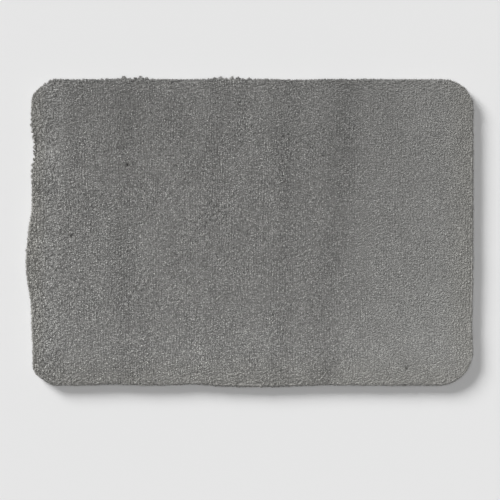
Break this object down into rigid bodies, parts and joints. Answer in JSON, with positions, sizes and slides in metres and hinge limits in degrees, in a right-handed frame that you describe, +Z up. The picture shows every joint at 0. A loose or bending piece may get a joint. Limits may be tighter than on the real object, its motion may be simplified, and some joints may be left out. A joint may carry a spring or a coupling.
{
  "type": "bath mat",
  "caption": "Rectangular tufted plush bath mat with rounded and clipped corners, an overlocked edge and a dotted anti-slip underside.",
  "frame": {"origin": "on the floor, under the middle of the mat's overall box", "axes": "+X along the mat towards the round corners, +Y across it, +Z up from the floor to the pile tips"},
  "size_m": [0.659, 0.45, 0.02],
  "materials": {
    "pile_yarn": "soft cut-pile microfibre",
    "backing_cloth": "plain woven polyester",
    "latex": "matt dried latex",
    "anti_slip_rubber": "matt moulded thermoplastic rubber",
    "overlock_thread": "textured polyester thread",
    "needle_thread": "spun polyester thread",
    "label_ribbon": "blank satin ribbon",
    "label_thread": "spun polyester thread"
  },
  "bodies": {
    "root": {"pile": "pile_yarn", "primary_backing": "backing_cloth", "latex_precoat": "latex", "anti_slip_sheet": "anti_slip_rubber", "upper_looper_thread": "overlock_thread", "lower_looper_thread": "overlock_thread", "needle_thread": "needle_thread", "care_label": "label_ribbon", "label_stitching": "label_thread"}
  },
  "joints": []
}
